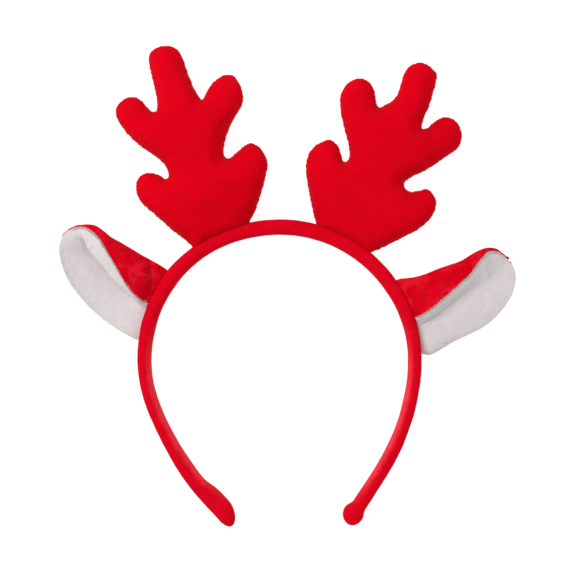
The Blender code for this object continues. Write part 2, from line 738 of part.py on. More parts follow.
def build():
    clear_scene()
    parts = make_collection("reindeer_headband")
    cutters = make_collection("cutters")
    build_headband(parts)
    cutter = build_hoop_clearance(cutters)
    build_antler("left_antler", LEFT_ANTLER_SEAT, LEFT_ANTLER_LEAN, LEFT_ANTLER_HEIGHT,
                 LEFT_LOBES, cutter, parts)
    build_antler("right_antler", RIGHT_ANTLER_SEAT, RIGHT_ANTLER_LEAN, RIGHT_ANTLER_HEIGHT,
                 RIGHT_LOBES, cutter, parts)
    build_ear(LEFT_EAR, cutter, parts)
    build_ear(RIGHT_EAR, cutter, parts)


build()
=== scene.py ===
"""Looks of the reindeer antler headband, built around its solid parts.

The headband lies on its back on a pale floor and is seen from straight above.
The hoop, antlers and ears are soft: each takes the place of its plain solid, with the
stuffing, seams, folds and pile that the solid leaves out.
"""
import math
import random
from collections import namedtuple

import bmesh
import bpy
import numpy as np
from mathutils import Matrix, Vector, bvhtree, geometry, kdtree, noise


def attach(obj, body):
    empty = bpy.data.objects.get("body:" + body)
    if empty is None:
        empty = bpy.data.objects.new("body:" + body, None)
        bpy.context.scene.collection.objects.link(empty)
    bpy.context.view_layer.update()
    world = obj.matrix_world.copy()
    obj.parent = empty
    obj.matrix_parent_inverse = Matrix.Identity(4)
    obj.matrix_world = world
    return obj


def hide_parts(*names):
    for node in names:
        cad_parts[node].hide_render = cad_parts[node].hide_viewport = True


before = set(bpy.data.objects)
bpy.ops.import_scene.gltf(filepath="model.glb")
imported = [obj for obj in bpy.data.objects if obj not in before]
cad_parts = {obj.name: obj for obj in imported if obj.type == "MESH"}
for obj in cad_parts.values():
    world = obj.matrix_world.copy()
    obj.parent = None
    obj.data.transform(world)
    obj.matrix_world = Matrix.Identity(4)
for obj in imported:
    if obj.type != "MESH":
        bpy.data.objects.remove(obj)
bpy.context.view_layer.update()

MM = 0.001
ROOT = "root"

# The photograph: its width, where the frame's origin shows, and the size of a pixel there
PHOTO_PX = 573
ORIGIN_X_PX = 279.6
ORIGIN_Y_PX = 226.8
ORIGIN_PIXEL = 0.49 * MM

# The camera looks straight down, as the photograph does
CAMERA_HEIGHT = 709 * MM
LENS_MM = 90
SENSOR_MM = 36

# The floor glows, so that it reads as the photograph's white ground
FLOOR_DROP = 0.15 * MM
FLOOR_REACH = 6.0
FLOOR_GREY = (0.25, 0.25, 0.25)
FLOOR_GLOW = 0.90

# Round soft lamps, one high on the left and one across from it, in an even pale room
Lamp = namedtuple("Lamp", "name place width power")
LAMPS = (Lamp("key", (-0.85, 0.45, 1.25), 0.9, 17.0),
         Lamp("fill", (0.95, -0.35, 1.20), 1.1, 4.0))
LAMP_TARGET = (0.0, -0.02, 0.0)
ROOM_STRENGTH = 0.50

# Reds and whites of the cloths, as linear colours
ANTLER_BRIGHT = (0.680, 0.0002, 0.0090)
ANTLER_DEEP = (0.580, 0.0001, 0.0065)
BAND_BRIGHT = (0.700, 0.0012, 0.0130)
BAND_DEEP = (0.570, 0.0004, 0.0090)
# The next colour is a painted sheen highlight for the arms' inner faces
BAND_SHEEN_HIGHLIGHT = (0.840, 0.0550, 0.0720)
EAR_BRIGHT = (0.700, 0.0010, 0.0110)
EAR_DEEP = (0.500, 0.0003, 0.0080)
EAR_BRUSHED = (0.780, 0.0300, 0.0560)
PLUSH_BRIGHT = (0.685, 0.640, 0.641)
PLUSH_DEEP = (0.612, 0.560, 0.562)
FUZZ_COLOUR = (0.940, 0.700, 0.710)
PATCH_SHARE = 0.22

# The arms' inner faces get a painted sheen highlight: how far below the crown this comes in and
# goes out
STREAK_IN = (40 * MM, 85 * MM)
STREAK_OUT = (118 * MM, 138 * MM)

# The hoop: where its crown is centred, its middle height, the radius of its outer face, how
# far it is filled out past its solid, and the depth, width and stitch of its inner seam
CROWN_CENTRE = Vector((0.0, -65.9 * MM))
HOOP_MIDDLE = 6.6 * MM
HOOP_FACE = 69.3 * MM
HOOP_FILL = 0.58 * MM
HOOP_SEAM_DEPTH = 0.5 * MM
HOOP_SEAM_WIDTH = 0.75 * MM
HOOP_STITCH = 2.6 * MM

# It is filled less at its crown, and the filling is whole again this far below
CROWN_SLIMMER = 0.45
CROWN_FADE = 25 * MM

# Where the arms stand further out than in the solid, or further in where that is under 0:
# the place along the part, its reach, and the change on the left and right, in millimetres
Shift = namedtuple("Shift", "at reach left right")
HOOP_SHIFTS = (Shift(-17, 17, 1.6, 0.2), Shift(-42, 10, 0.5, 0.2), Shift(-60, 22, 0.55, 0.55),
               Shift(-105, 22, -0.35, -0.35))
SHIFT_CLEAR = 25 * MM

# Lumps of the stuffing under the velour: wide ones, with small ones on them
Lumps = namedtuple("Lumps", "width height small_width small_height")
ANTLER_LUMPS = Lumps(12 * MM, 0.16 * MM, 3.5 * MM, 0.05 * MM)
BAND_LUMPS = Lumps(13 * MM, 0.16 * MM, 4 * MM, 0.07 * MM)

# Antler covers: two panels sewn round the edge, stuffed until the front stands this high
COVER_SPACING = 0.9 * MM
COVER_MIDDLE = 9.9 * MM
COVER_RISE = 24 * MM
STUFFING_LIMIT = 15.5 * MM
FRONT_SHARE = 0.98
BACK_SHARE = 0.86
REST_SOFTNESS = 0.6 * MM
FOOT_BITE = 2.2 * MM
SOLVING_STEPS = 2400
EDGE_ALLOWANCE = 0.42 * MM
SEAM_DEPTH = 0.25 * MM
SEAM_WIDTH = 0.70 * MM
PUCKER_PERIOD = 3.4 * MM
PUCKER_DEPTH = 0.03 * MM
PUCKER_REACH = 2.6 * MM

# The stuffing's push is worked out on a model ten times as large, where cloth behaves well
SIM_SCALE = 10.0
SIM_FRAMES = 20
PRESSURE = 4.0
COVER_SLACK = -0.03
STUFFING_CAP = 0.7 * MM

# Soft pieces that touch the hoop are pressed against it, this far off its pile; only places
# nearer than the search are looked at, and an ear's cloth is drawn in from within its reach
CONTACT = 0.06 * MM
CONTACT_SEARCH = 6 * MM
EAR_REACH = 2.2 * MM

# Outlines of the antlers in pixels of the photograph, from one end of the foot to the other
LEFT_ANTLER_OUTLINE = (
    (191.0, 245.8), (182.3, 238.2), (172.9, 230.9), (163.6, 222.8), (154.2, 214.8),
    (146.2, 207.4), (140.1, 200.7), (137.4, 194.0), (136.4, 186.6), (137.4, 180.6),
    (140.8, 175.9), (145.5, 173.5), (151.5, 172.9), (156.9, 173.9), (161.6, 176.4),
    (165.2, 178.7), (167.3, 178.2), (168.4, 175.0), (166.9, 169.2), (163.6, 163.9),
    (157.5, 158.5), (150.2, 153.2), (142.1, 147.8), (135.4, 142.5), (128.7, 135.8),
    (122.7, 128.4), (118.7, 121.7), (116.6, 115.7), (116.1, 110.3), (118.0, 105.6),
    (122.6, 100.9), (127.4, 98.2), (132.1, 97.3), (137.4, 98.3), (142.8, 101.9),
    (146.8, 107.0), (150.8, 110.9), (154.1, 112.3), (156.7, 110.9), (157.4, 107.0),
    (156.8, 100.3), (154.8, 90.9), (152.6, 81.5), (150.2, 70.8), (148.6, 62.1),
    (149.2, 56.1), (152.1, 51.4), (156.9, 48.3), (163.6, 47.3), (170.2, 47.3),
    (175.6, 49.1), (179.6, 52.7), (183.0, 58.7), (186.3, 68.1), (190.3, 78.8),
    (194.3, 88.2), (198.4, 95.6), (201.7, 99.7), (204.4, 96.3), (208.4, 88.9),
    (213.1, 82.8), (218.5, 78.2), (223.9, 75.4), (229.8, 74.7), (233.4, 75.6),
    (236.6, 80.2), (239.9, 85.5), (242.2, 91.5), (243.0, 97.6), (242.3, 103.6),
    (239.2, 110.3), (234.6, 118.3), (229.9, 128.4), (226.2, 137.8), (224.0, 147.1),
    (223.9, 153.8), (225.8, 157.3), (228.6, 158.6), (231.3, 157.2), (235.9, 153.2),
    (241.2, 148.5), (245.9, 145.1), (250.6, 143.5), (255.3, 144.9), (260.0, 148.5),
    (264.0, 153.8), (266.7, 159.9), (267.6, 165.2), (266.7, 171.9), (264.7, 182.0),
    (262.0, 191.3), (258.7, 200.7), (256.0, 209.4), (252.6, 216.8), (250.0, 222.0))
RIGHT_ANTLER_OUTLINE = (
    (316.6, 225.3), (314.0, 217.0), (311.5, 205.5), (308.9, 192.8), (307.0, 181.3),
    (306.0, 171.1), (307.0, 159.6), (310.2, 151.9), (315.3, 146.2), (321.7, 142.4),
    (329.3, 140.2), (333.8, 142.1), (338.3, 147.5), (341.1, 154.5), (342.7, 160.2),
    (345.3, 161.8), (347.6, 160.9), (349.4, 156.4), (349.1, 148.1), (347.4, 140.5),
    (344.0, 129.0), (341.1, 116.2), (340.2, 106.0), (340.6, 97.1), (342.7, 90.7),
    (347.2, 84.3), (352.9, 80.5), (359.9, 78.9), (366.3, 80.5), (371.4, 85.0),
    (374.4, 92.0), (375.5, 99.6), (377.2, 105.4), (379.7, 107.3), (384.8, 105.0),
    (391.8, 100.9), (396.3, 95.8), (399.5, 88.2), (402.0, 79.2), (405.2, 71.6),
    (409.7, 66.5), (416.1, 63.7), (422.4, 63.3), (428.8, 66.5), (433.9, 70.9),
    (436.9, 75.4), (436.2, 81.8), (433.3, 92.0), (430.1, 104.1), (425.0, 115.6),
    (422.2, 123.2), (421.8, 127.7), (423.7, 129.0), (428.8, 127.1), (435.2, 121.3),
    (441.6, 118.1), (448.0, 117.8), (454.3, 120.3), (458.8, 126.4), (461.4, 134.1),
    (460.1, 143.0), (455.6, 150.0), (446.7, 156.4), (435.2, 164.7), (423.7, 171.7),
    (413.5, 176.2), (406.5, 180.6), (404.3, 183.8), (405.9, 188.9), (411.0, 191.7),
    (418.6, 190.8), (425.6, 188.9), (430.1, 191.5), (434.6, 197.9), (435.6, 204.2),
    (433.3, 213.2), (427.6, 221.5), (418.6, 229.1), (407.1, 235.5), (394.4, 241.9),
    (381.6, 248.2), (371.4, 252.5))

# Soft valleys where a cover is pulled in, from one pixel of the photograph to another;
# depth and width are in millimetres, and a ridge has a depth under 0
Tuck = namedtuple("Tuck", "x y to_x to_y depth width")
LEFT_ANTLER_TUCKS = (
    Tuck(202, 99, 189, 122, 0.9, 3.0),
    Tuck(228, 158, 206, 164, 0.8, 3.2),
    Tuck(166, 178, 182, 180, 0.6, 2.8),
)
RIGHT_ANTLER_TUCKS = (
    Tuck(379, 108, 386, 124, 0.6, 3.0),
    Tuck(423, 130, 408, 137, 0.8, 2.8),
    Tuck(345, 162, 356, 172, 0.8, 3.0),
    Tuck(405, 184, 388, 186, 0.7, 3.2),
)
TUCK_FADE = 0.35
TUCK_HEIGHT = 16 * MM
TUCK_RISE = 4 * MM

# Stations of an ear from its base to its tip: pixels of the folded top, of the seam between
# red and white, of the valley beside the rolled rim and of the lower edge, then the heights
# in millimetres of the flap's crest, the bowl and the lower edge, and how far the plush rolls
# over at the seam, from 0, lying open, to 1
Station = namedtuple("Station", "top_x top_y seam_x seam_y valley_x valley_y edge_x edge_y"
                                " crest bowl edge roll")
LEFT_EAR = (
    Station(170.0, 272.5, 151.0, 304.0, 148.0, 310.0, 140.5, 341.9, 8.0, 7.0, 5.2, 0.0),
    Station(163.5, 267.4, 144.5, 301.6, 141.5, 308.0, 133.0, 338.4, 11.5, 6.8, 5.2, 0.0),
    Station(157.0, 263.4, 138.0, 298.1, 135.0, 303.5, 124.5, 333.8, 14.8, 6.2, 5.3, 0.1),
    Station(149.0, 259.0, 130.1, 289.5, 126.6, 295.0, 112.0, 325.8, 16.1, 5.2, 5.4, 0.5),
    Station(140.4, 254.2, 123.2, 279.2, 117.0, 285.0, 100.0, 317.0, 16.8, 4.6, 5.6, 0.9),
    Station(131.0, 248.4, 118.0, 269.7, 109.3, 275.0, 88.5, 306.5, 17.1, 4.5, 6.0, 1.0),
    Station(121.0, 242.5, 111.1, 257.6, 101.0, 264.5, 76.5, 292.7, 17.2, 4.7, 6.4, 1.0),
    Station(112.0, 237.6, 104.5, 246.4, 92.5, 256.5, 67.0, 278.3, 17.0, 5.2, 7.0, 0.9),
    Station(104.0, 231.2, 98.5, 237.2, 84.5, 250.0, 61.0, 262.5, 16.3, 6.4, 7.6, 0.7),
    Station(95.6, 225.6, 91.0, 230.2, 77.5, 243.0, 59.0, 249.4, 14.8, 8.4, 8.4, 0.3),
    Station(85.5, 224.4, 83.0, 226.9, 72.0, 237.0, 60.0, 241.6, 13.2, 9.4, 8.8, 0.0),
    Station(76.5, 226.2, 75.6, 227.6, 68.0, 233.0, 62.5, 236.2, 11.8, 9.6, 9.0, 0.0),
    Station(70.8, 228.8, 70.4, 229.4, 67.0, 231.6, 65.6, 232.6, 10.6, 9.6, 9.2, 0.0),
    Station(68.8, 230.8, 68.6, 231.0, 68.0, 231.6, 67.7, 231.8, 8.8, 8.6, 8.5, 0.0),
)
RIGHT_EAR = (
    Station(393.6, 280.5, 414.6, 318.0, 417.5, 326.0, 420.4, 352.4, 8.0, 7.2, 5.2, 0.0),
    Station(398.6, 279.0, 418.6, 316.8, 422.0, 325.5, 424.8, 354.4, 11.4, 7.8, 5.2, 0.0),
    Station(405.5, 278.3, 424.0, 314.2, 428.5, 323.0, 431.0, 354.9, 14.0, 8.2, 5.3, 0.1),
    Station(415.8, 276.8, 431.5, 309.2, 436.5, 318.5, 440.8, 349.8, 14.4, 8.3, 5.4, 0.08),
    Station(426.5, 273.6, 440.8, 300.9, 446.0, 311.5, 453.7, 342.0, 14.6, 8.2, 5.6, 0.08),
    Station(437.5, 269.0, 450.5, 292.4, 456.3, 303.0, 466.5, 336.0, 14.7, 8.2, 6.0, 0.08),
    Station(449.0, 265.0, 461.5, 282.0, 468.0, 294.5, 479.5, 329.5, 14.7, 8.2, 6.4, 0.08),
    Station(460.5, 261.0, 470.5, 273.5, 478.0, 287.5, 492.0, 320.7, 14.7, 8.4, 7.0, 0.05),
    Station(471.8, 254.2, 477.5, 263.3, 486.5, 281.5, 504.0, 308.0, 14.5, 8.6, 7.6, 0.0),
    Station(480.5, 249.7, 483.8, 255.6, 493.5, 275.0, 512.8, 293.5, 15.0, 8.6, 8.2, 0.0),
    Station(489.0, 247.7, 488.8, 251.2, 499.5, 268.0, 515.9, 279.6, 13.8, 9.2, 8.6, 0.0),
    Station(498.3, 249.7, 497.4, 251.7, 504.5, 263.0, 514.4, 269.5, 12.4, 9.4, 9.0, 0.0),
    Station(505.2, 255.0, 504.4, 256.4, 508.0, 261.5, 512.3, 264.8, 11.0, 9.5, 9.2, 0.0),
    Station(508.6, 259.8, 508.5, 260.2, 508.9, 261.4, 509.6, 262.2, 8.8, 8.6, 8.5, 0.0),
)

# A layer's way across a station: between which two lines, the share of the way, its level
# from the bowl at 0 to the crest at 1, how much it follows the lower edge's height, and how
# far it lies under the other layer, in millimetres
Across = namedtuple("Across", "start end way level lip under", defaults=(0.0, 0.0))
ROLLED_PLUSH = (
    Across("edge", "valley", 0.00, 0.00, 1.00),
    Across("edge", "valley", 0.03, 0.00, 0.92),
    Across("edge", "valley", 0.14, 0.00, 0.45),
    Across("edge", "valley", 0.40, 0.00, 0.08),
    Across("edge", "valley", 0.75, 0.00),
    Across("valley", "top", 0.00, 0.02),
    Across("valley", "top", 0.35, 0.10),
    Across("valley", "top", 0.66, 0.24),
    Across("valley", "top", 0.78, 0.42),
    Across("valley", "top", 0.66, 0.62),
    Across("seam", "top", 0.20, 0.66),
    Across("seam", "valley", 0.35, 0.56),
    Across("seam", "valley", 0.72, 0.48),
    Across("seam", "valley", 0.97, 0.56),
    Across("seam", "valley", 0.93, 0.76),
    Across("seam", "valley", 0.62, 0.92),
    Across("seam", "valley", 0.20, 1.00),
    Across("seam", "top", 0.04, 0.97),
)
OPEN_PLUSH = (
    Across("edge", "valley", 0.00, 0.00, 1.00),
    Across("edge", "valley", 0.03, 0.00, 0.92),
    Across("edge", "valley", 0.12, 0.00, 0.50),
    Across("edge", "valley", 0.30, 0.00, 0.12),
    Across("edge", "valley", 0.50, 0.00),
    Across("edge", "valley", 0.68, 0.00),
    Across("edge", "valley", 0.82, 0.02),
    Across("edge", "valley", 0.93, 0.06),
    Across("seam", "valley", 1.00, 0.11),
    Across("seam", "valley", 0.91, 0.18),
    Across("seam", "valley", 0.81, 0.27),
    Across("seam", "valley", 0.70, 0.38),
    Across("seam", "valley", 0.58, 0.51),
    Across("seam", "valley", 0.46, 0.64),
    Across("seam", "valley", 0.33, 0.78),
    Across("seam", "valley", 0.20, 0.90),
    Across("seam", "valley", 0.08, 0.99),
    Across("seam", "top", 0.04, 0.97),
)
VELOUR = (
    Across("seam", "top", -0.02, 0.99),
    Across("seam", "top", 0.06, 1.02),
    Across("seam", "top", 0.45, 1.00),
    Across("seam", "top", 0.78, 0.88),
    Across("seam", "top", 0.96, 0.64),
    Across("seam", "top", 1.00, 0.42),
    Across("valley", "top", 0.90, 0.12, 0.00, 1.5),
    Across("valley", "top", 0.55, 0.00, 0.00, 2.8),
    Across("valley", "edge", 0.10, 0.00, 0.00, 2.8),
    Across("valley", "edge", 0.60, 0.00, 0.10, 2.8),
    Across("valley", "edge", 0.80, 0.00, 0.45, 2.8),
    Across("valley", "edge", 0.89, 0.00, 0.75, 2.8),
)

# The sheets' steps from station to station and across, their cloth, the height of their pile
# and its tufts' width, and the slow waves of the turned-over front
STATION_STEPS = 9
ACROSS_STEPS = 5
VELOUR_THICKNESS = 1.1 * MM
PLUSH_THICKNESS = 1.3 * MM
VELOUR_PILE = 0.04 * MM
PLUSH_PILE = 0.12 * MM
TUFT_WIDTH = 2.4 * MM
WAVE_HEIGHT = 0.28 * MM
WAVE_WIDTH = 7 * MM

# Folds of the ears' turned-over front, from pixel to pixel
LEFT_EAR_FOLDS = (
    Tuck(150, 262, 152, 296, 2.6, 1.6),
    Tuck(144, 262, 142, 282, -0.5, 1.5),
    Tuck(133, 262, 141, 256, -0.6, 1.4),
    Tuck(118, 250, 126, 247, -0.5, 1.3),
    Tuck(106, 240, 112, 236, -0.5, 1.0),
    Tuck(110, 246, 116, 241, 0.5, 1.0),
    Tuck(101, 239, 106, 233, 0.4, 0.9),
    Tuck(84, 246, 89, 241, 0.8, 1.1),
    Tuck(90, 251, 96, 247, 0.6, 1.0),
    Tuck(80, 240, 84, 234, 0.5, 1.0),
)
RIGHT_EAR_FOLDS = (
    Tuck(458, 262, 427, 300, -1.0, 1.4),
    Tuck(443, 270, 437, 285, -0.6, 1.1),
    Tuck(449, 272, 430, 290, 0.7, 1.3),
    Tuck(430, 288, 425, 302, 1.2, 1.9),
    Tuck(409, 281, 416, 281, 0.9, 1.3),
)

# White pile along the seam of an ear, in small teeth that end a little before the tip; a
# blade's set-back from the seam and its length are in millimetres
TEETH_PERIOD = 1.15 * MM
TIP_CLEAR = 4 * MM
FUZZ_PER_EAR = 1500
FUZZ_HALF_WIDTH = 0.11 * MM
FUZZ_SET_BACK = (0.6, 1.5)
FUZZ_LENGTH = (0.50, 1.10)
FUZZ_LIFT = 0.25 * MM
FUZZ_OVER = 0.9
FUZZ_RISE = 0.40


class Signal:
    """A shader socket whose arithmetic adds Math nodes."""

    def __init__(self, finish, socket):
        self.finish = finish
        self.socket = socket

    def maths(self, operation, first, second):
        return self.finish.node("ShaderNodeMath", {"operation": operation}, {0: first, 1: second})

    def __add__(self, other):
        return self.maths("ADD", self, other)

    def __radd__(self, other):
        return self.maths("ADD", other, self)

    def __sub__(self, other):
        return self.maths("SUBTRACT", self, other)

    def __rsub__(self, other):
        return self.maths("SUBTRACT", other, self)

    def __mul__(self, other):
        return self.maths("MULTIPLY", self, other)

    def __rmul__(self, other):
        return self.maths("MULTIPLY", other, self)

    def sign(self):
        return self.maths("SIGN", self, 0.0)

    def limited(self, low, high):
        """The signal stretched so that low reads 0 and high reads 1, and held in between."""
        return self.finish.node("ShaderNodeMapRange", {"interpolation_type": "SMOOTHSTEP"},
                                {"Value": self, "From Min": low, "From Max": high})


class Finish:
    """A material whose shader takes numbers, colours and signals."""

    def __init__(self, name):
        self.material = bpy.data.materials.new(name)
        self.material.use_nodes = True
        self.tree = self.material.node_tree
        self.shader = self.tree.nodes["Principled BSDF"]
        self.place = self.node("ShaderNodeTexCoord", output="Object")

    def feed(self, socket, value):
        if isinstance(value, Signal):
            self.tree.links.new(value.socket, socket)
        elif isinstance(value, tuple) and len(socket.default_value) == 4:
            socket.default_value = (*value, 1.0)
        else:
            socket.default_value = value

    def node(self, kind, settings=None, inputs=None, output=0):
        made = self.tree.nodes.new(kind)
        for key, value in (settings or {}).items():
            setattr(made, key, value)
        for key, value in (inputs or {}).items():
            self.feed(made.inputs[key], value)
        return Signal(self, made.outputs[output])

    def part_of(self, vector, axis):
        """One axis of a vector: X, Y or Z."""
        return self.node("ShaderNodeSeparateXYZ", None, {0: vector}, output=axis)

    def grain(self, size, detail=2.0, roughness=0.5, distortion=0.0):
        """Noise whose grains are about this size, in metres."""
        return self.node("ShaderNodeTexNoise", None,
                         {"Vector": self.place, "Scale": 1.0 / size, "Detail": detail,
                          "Roughness": roughness, "Distortion": distortion})

    def blend(self, share, first, second):
        """One colour turning into another as the share goes from 0 to 1."""
        return self.node("ShaderNodeMix", {"data_type": "RGBA"}, {0: share, 6: first, 7: second},
                         output=2)

    def set(self, **values):
        """Values of the shader's own sockets, named with _ for a space."""
        for key, value in values.items():
            self.feed(self.shader.inputs[key.replace("_", " ")], value)

    def raise_by(self, height, depth, strength=1.0):
        """Bump: the height signal stands this deep, in metres."""
        bump = self.node("ShaderNodeBump", None,
                         {"Height": height, "Distance": depth, "Strength": strength})
        self.feed(self.shader.inputs["Normal"], bump)


def velour(name, bright, deep, clumps, inner_sheen=False, patched=False):
    """Short-pile red velour: fine upright pile, soft clumps, and patches brushed either way.

    The arms' lower inner faces can take a painted sheen highlight where they face inward, and
    patched pile shows here and there.
    """
    finish = Finish(name)
    pile = finish.grain(0.34 * MM, 2.0, 0.6)
    clump = finish.grain(1.5 * MM, 2.0, 0.55, 0.4)
    brushed = finish.grain(7.0 * MM, 2.0, 0.5, 0.6)
    wide = finish.grain(26 * MM, 1.0)
    share = 0.34 * brushed + clumps * clump + 0.26 * pile + 0.30 * wide
    middle = 0.5 * (0.90 + clumps)
    colour = finish.blend(share.limited(middle - 0.20, middle + 0.20), deep, bright)
    if inner_sheen:
        facing = finish.node("ShaderNodeTexCoord", output="Normal")
        across = finish.part_of(finish.place, "X")
        inward = -1.0 * (finish.part_of(facing, "X") * across.sign())
        down = -1.0 * finish.part_of(finish.place, "Y")
        low = down.limited(*STREAK_IN) * (1.0 - down.limited(*STREAK_OUT))
        streak = (inward + 0.5 * clump).limited(0.42, 1.05) * low * (0.35 + 0.65 * brushed)
        # Painted sheen highlight: lower inner faces that turn inward are coloured lighter
        colour = finish.blend(streak, colour, BAND_SHEEN_HIGHLIGHT)
    if patched:
        patches = (brushed + 0.3 * clump).limited(0.60, 0.84)
        colour = finish.blend(PATCH_SHARE * patches, colour, EAR_BRUSHED)
    finish.set(Base_Color=colour,
               Roughness=0.82 + 0.14 * pile,
               Specular_IOR_Level=0.02,
               Sheen_Weight=0.10,
               Sheen_Roughness=0.40,
               Sheen_Tint=(1.0, 0.10, 0.14))
    finish.raise_by(0.60 * pile + 0.9 * clumps * clump + 0.3 * brushed, 0.26 * MM, 0.5)
    return finish.material


def plush(name):
    """Longer white pile that lies in small soft tufts."""
    finish = Finish(name)
    hairs = finish.grain(0.40 * MM, 3.0, 0.65)
    tufts = finish.grain(1.7 * MM, 3.0, 0.55, 0.7)
    lie = finish.grain(6.0 * MM, 2.0, 0.5, 0.5)
    share = 0.30 * hairs + 0.36 * tufts + 0.34 * lie
    finish.set(Base_Color=finish.blend(share.limited(0.30, 0.70), PLUSH_DEEP, PLUSH_BRIGHT),
               Roughness=0.86 + 0.12 * hairs,
               Specular_IOR_Level=0.05,
               Sheen_Weight=0.10,
               Sheen_Roughness=0.45,
               Sheen_Tint=(1.0, 0.97, 0.97),
               Subsurface_Weight=0.35,
               Subsurface_Radius=(1.0, 0.85, 0.85),
               Subsurface_Scale=0.9 * MM)
    finish.raise_by(0.45 * hairs + 0.75 * tufts + 0.4 * lie, 0.36 * MM, 0.45)
    return finish.material


def seam_fuzz(name):
    """White pile tips, pink where the red shows through them."""
    finish = Finish(name)
    pinkness = finish.grain(1.2 * MM, 2.0)
    finish.set(Base_Color=finish.blend(pinkness.limited(0.35, 0.65), FUZZ_COLOUR, PLUSH_BRIGHT),
               Roughness=0.88 + 0.1 * pinkness,
               Specular_IOR_Level=0.05,
               Subsurface_Weight=0.8,
               Subsurface_Radius=(1.0, 0.9, 0.9),
               Subsurface_Scale=0.8 * MM)
    return finish.material


def smooth(value):
    """From 0 to 1 with soft ends; numbers and arrays alike."""
    value = np.clip(value, 0.0, 1.0)
    return value * value * (3.0 - 2.0 * value)


def mix(first, second, share):
    return first + (second - first) * share


def photo_places(pixels, height):
    """Pixels of the photograph at a height over the floor, as x and y in metres."""
    pixels = np.asarray(pixels, float)
    half = PHOTO_PX / 2
    pixel = SENSOR_MM / LENS_MM / PHOTO_PX * (CAMERA_HEIGHT - np.asarray(height))
    middle_x, middle_y = camera_place()
    return np.stack((middle_x + (pixels[..., 0] - half) * pixel,
                     middle_y + (half - pixels[..., 1]) * pixel), axis=-1)


def camera_place():
    """Where the camera's middle line meets the part's plane."""
    half = PHOTO_PX / 2
    return (half - ORIGIN_X_PX) * ORIGIN_PIXEL, (ORIGIN_Y_PX - half) * ORIGIN_PIXEL


def spline(points, steps, closed=False):
    """A smooth curve through rows of numbers, each stretch in this many steps."""
    points = np.asarray(points, float)
    if closed:
        before, after = np.roll(points, 1, 0), np.roll(points, -2, 0)
        start, end = points, np.roll(points, -1, 0)
    else:
        ends = np.vstack((2 * points[0] - points[1], points, 2 * points[-1] - points[-2]))
        before, start, end, after = ends[:-3], ends[1:-2], ends[2:-1], ends[3:]
    before, start, end, after = (part[:, None, :] for part in (before, start, end, after))
    t = np.arange(steps)[None, :, None] / steps
    curve = 0.5 * (2 * start + (end - before) * t
                   + (2 * before - 5 * start + 4 * end - after) * t ** 2
                   + (3 * start - before - 3 * end + after) * t ** 3)
    curve = curve.reshape(-1, points.shape[1])
    return curve if closed else np.vstack((curve, points[-1:]))


def evenly(curve, spacing):
    """Points at about this spacing round a closed curve."""
    ring = np.vstack((curve, curve[:1]))
    lengths = np.concatenate(([0.0], np.cumsum(np.linalg.norm(np.diff(ring, axis=0), axis=1))))
    at = np.linspace(0.0, lengths[-1], round(lengths[-1] / spacing), endpoint=False)
    return np.column_stack([np.interp(at, lengths, ring[:, axis]) for axis in range(2)])


def points_of(mesh):
    flat = np.empty(len(mesh.vertices) * 3, np.float32)
    mesh.vertices.foreach_get("co", flat)
    return flat.reshape(-1, 3).astype(float)


def normals_of(mesh):
    flat = np.empty(len(mesh.vertices) * 3, np.float32)
    mesh.vertex_normals.foreach_get("vector", flat)
    return flat.reshape(-1, 3).astype(float)


def move_points(mesh, points):
    mesh.vertices.foreach_set("co", points.astype(np.float32).ravel())
    mesh.update()


def swell(places, size, seed):
    """Soft noise from -1 to 1 at each place, with bumps of about this size."""
    shift = Vector((seed * 7.3, seed * 3.1, seed * 5.7))
    return np.array([noise.noise(Vector(place) / size + shift) for place in places])


def lumpy(places, lumps, seed):
    """How far the stuffing's lumps stand out at each place, in metres."""
    wide = lumps.height * swell(places, lumps.width, seed)
    return wide + lumps.small_height * swell(places, lumps.small_width, seed + 1)


def mesh_from(name, points, faces):
    mesh = bpy.data.meshes.new(name)
    mesh.from_pydata([tuple(point) for point in points], [], faces)
    mesh.update()
    return mesh


def add_piece(name, mesh, material):
    piece = bpy.data.objects.new(name, mesh)
    bpy.context.scene.collection.objects.link(piece)
    mesh.materials.clear()
    mesh.materials.append(material)
    mesh.shade_smooth()
    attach(piece, ROOT)
    return piece


def copy_of(node):
    """A copy of a solid's mesh, with its corners welded and its triangles paired into quads."""
    work = bmesh.new()
    work.from_mesh(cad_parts[node].data)
    bmesh.ops.remove_doubles(work, verts=work.verts, dist=0.002 * MM)
    bmesh.ops.join_triangles(work, faces=work.faces, angle_face_threshold=math.radians(50),
                             angle_shape_threshold=math.radians(60))
    mesh = bpy.data.meshes.new(node + "_soft")
    work.to_mesh(mesh)
    work.free()
    return mesh


def worked(mesh, *steps):
    """The mesh after modifiers, each given as its kind and settings."""
    holder = bpy.data.objects.new("holder", mesh)
    bpy.context.scene.collection.objects.link(holder)
    for kind, settings in steps:
        modifier = holder.modifiers.new(kind, kind)
        for key, value in settings.items():
            setattr(modifier, key, value)
    view = bpy.context.evaluated_depsgraph_get()
    result = bpy.data.meshes.new_from_object(holder.evaluated_get(view))
    bpy.data.objects.remove(holder, do_unlink=True)
    return result


def subdivided(levels):
    return "SUBSURF", {"levels": levels, "render_levels": levels}


def tree_of(points):
    tree = kdtree.KDTree(len(points))
    for index, point in enumerate(points):
        tree.insert((*point, 0.0) if len(point) == 2 else point, index)
    tree.balance()
    return tree


def tucked(places, tucks):
    """How far each place is pulled in by the tucks, in metres."""
    flat = places[:, :2]
    total = np.zeros(len(flat))
    for tuck in tucks:
        start, end = photo_places(((tuck.x, tuck.y), (tuck.to_x, tuck.to_y)), TUCK_HEIGHT)
        run = end - start
        share = np.clip((flat - start) @ run / (run @ run), 0.0, 1.0)
        away = np.linalg.norm(flat - start - share[:, None] * run, axis=1)
        fade = 1.0 - smooth((share - TUCK_FADE) / (1.0 - TUCK_FADE))
        total += tuck.depth * MM * fade * np.exp(-(away / (tuck.width * MM)) ** 2)
    return total


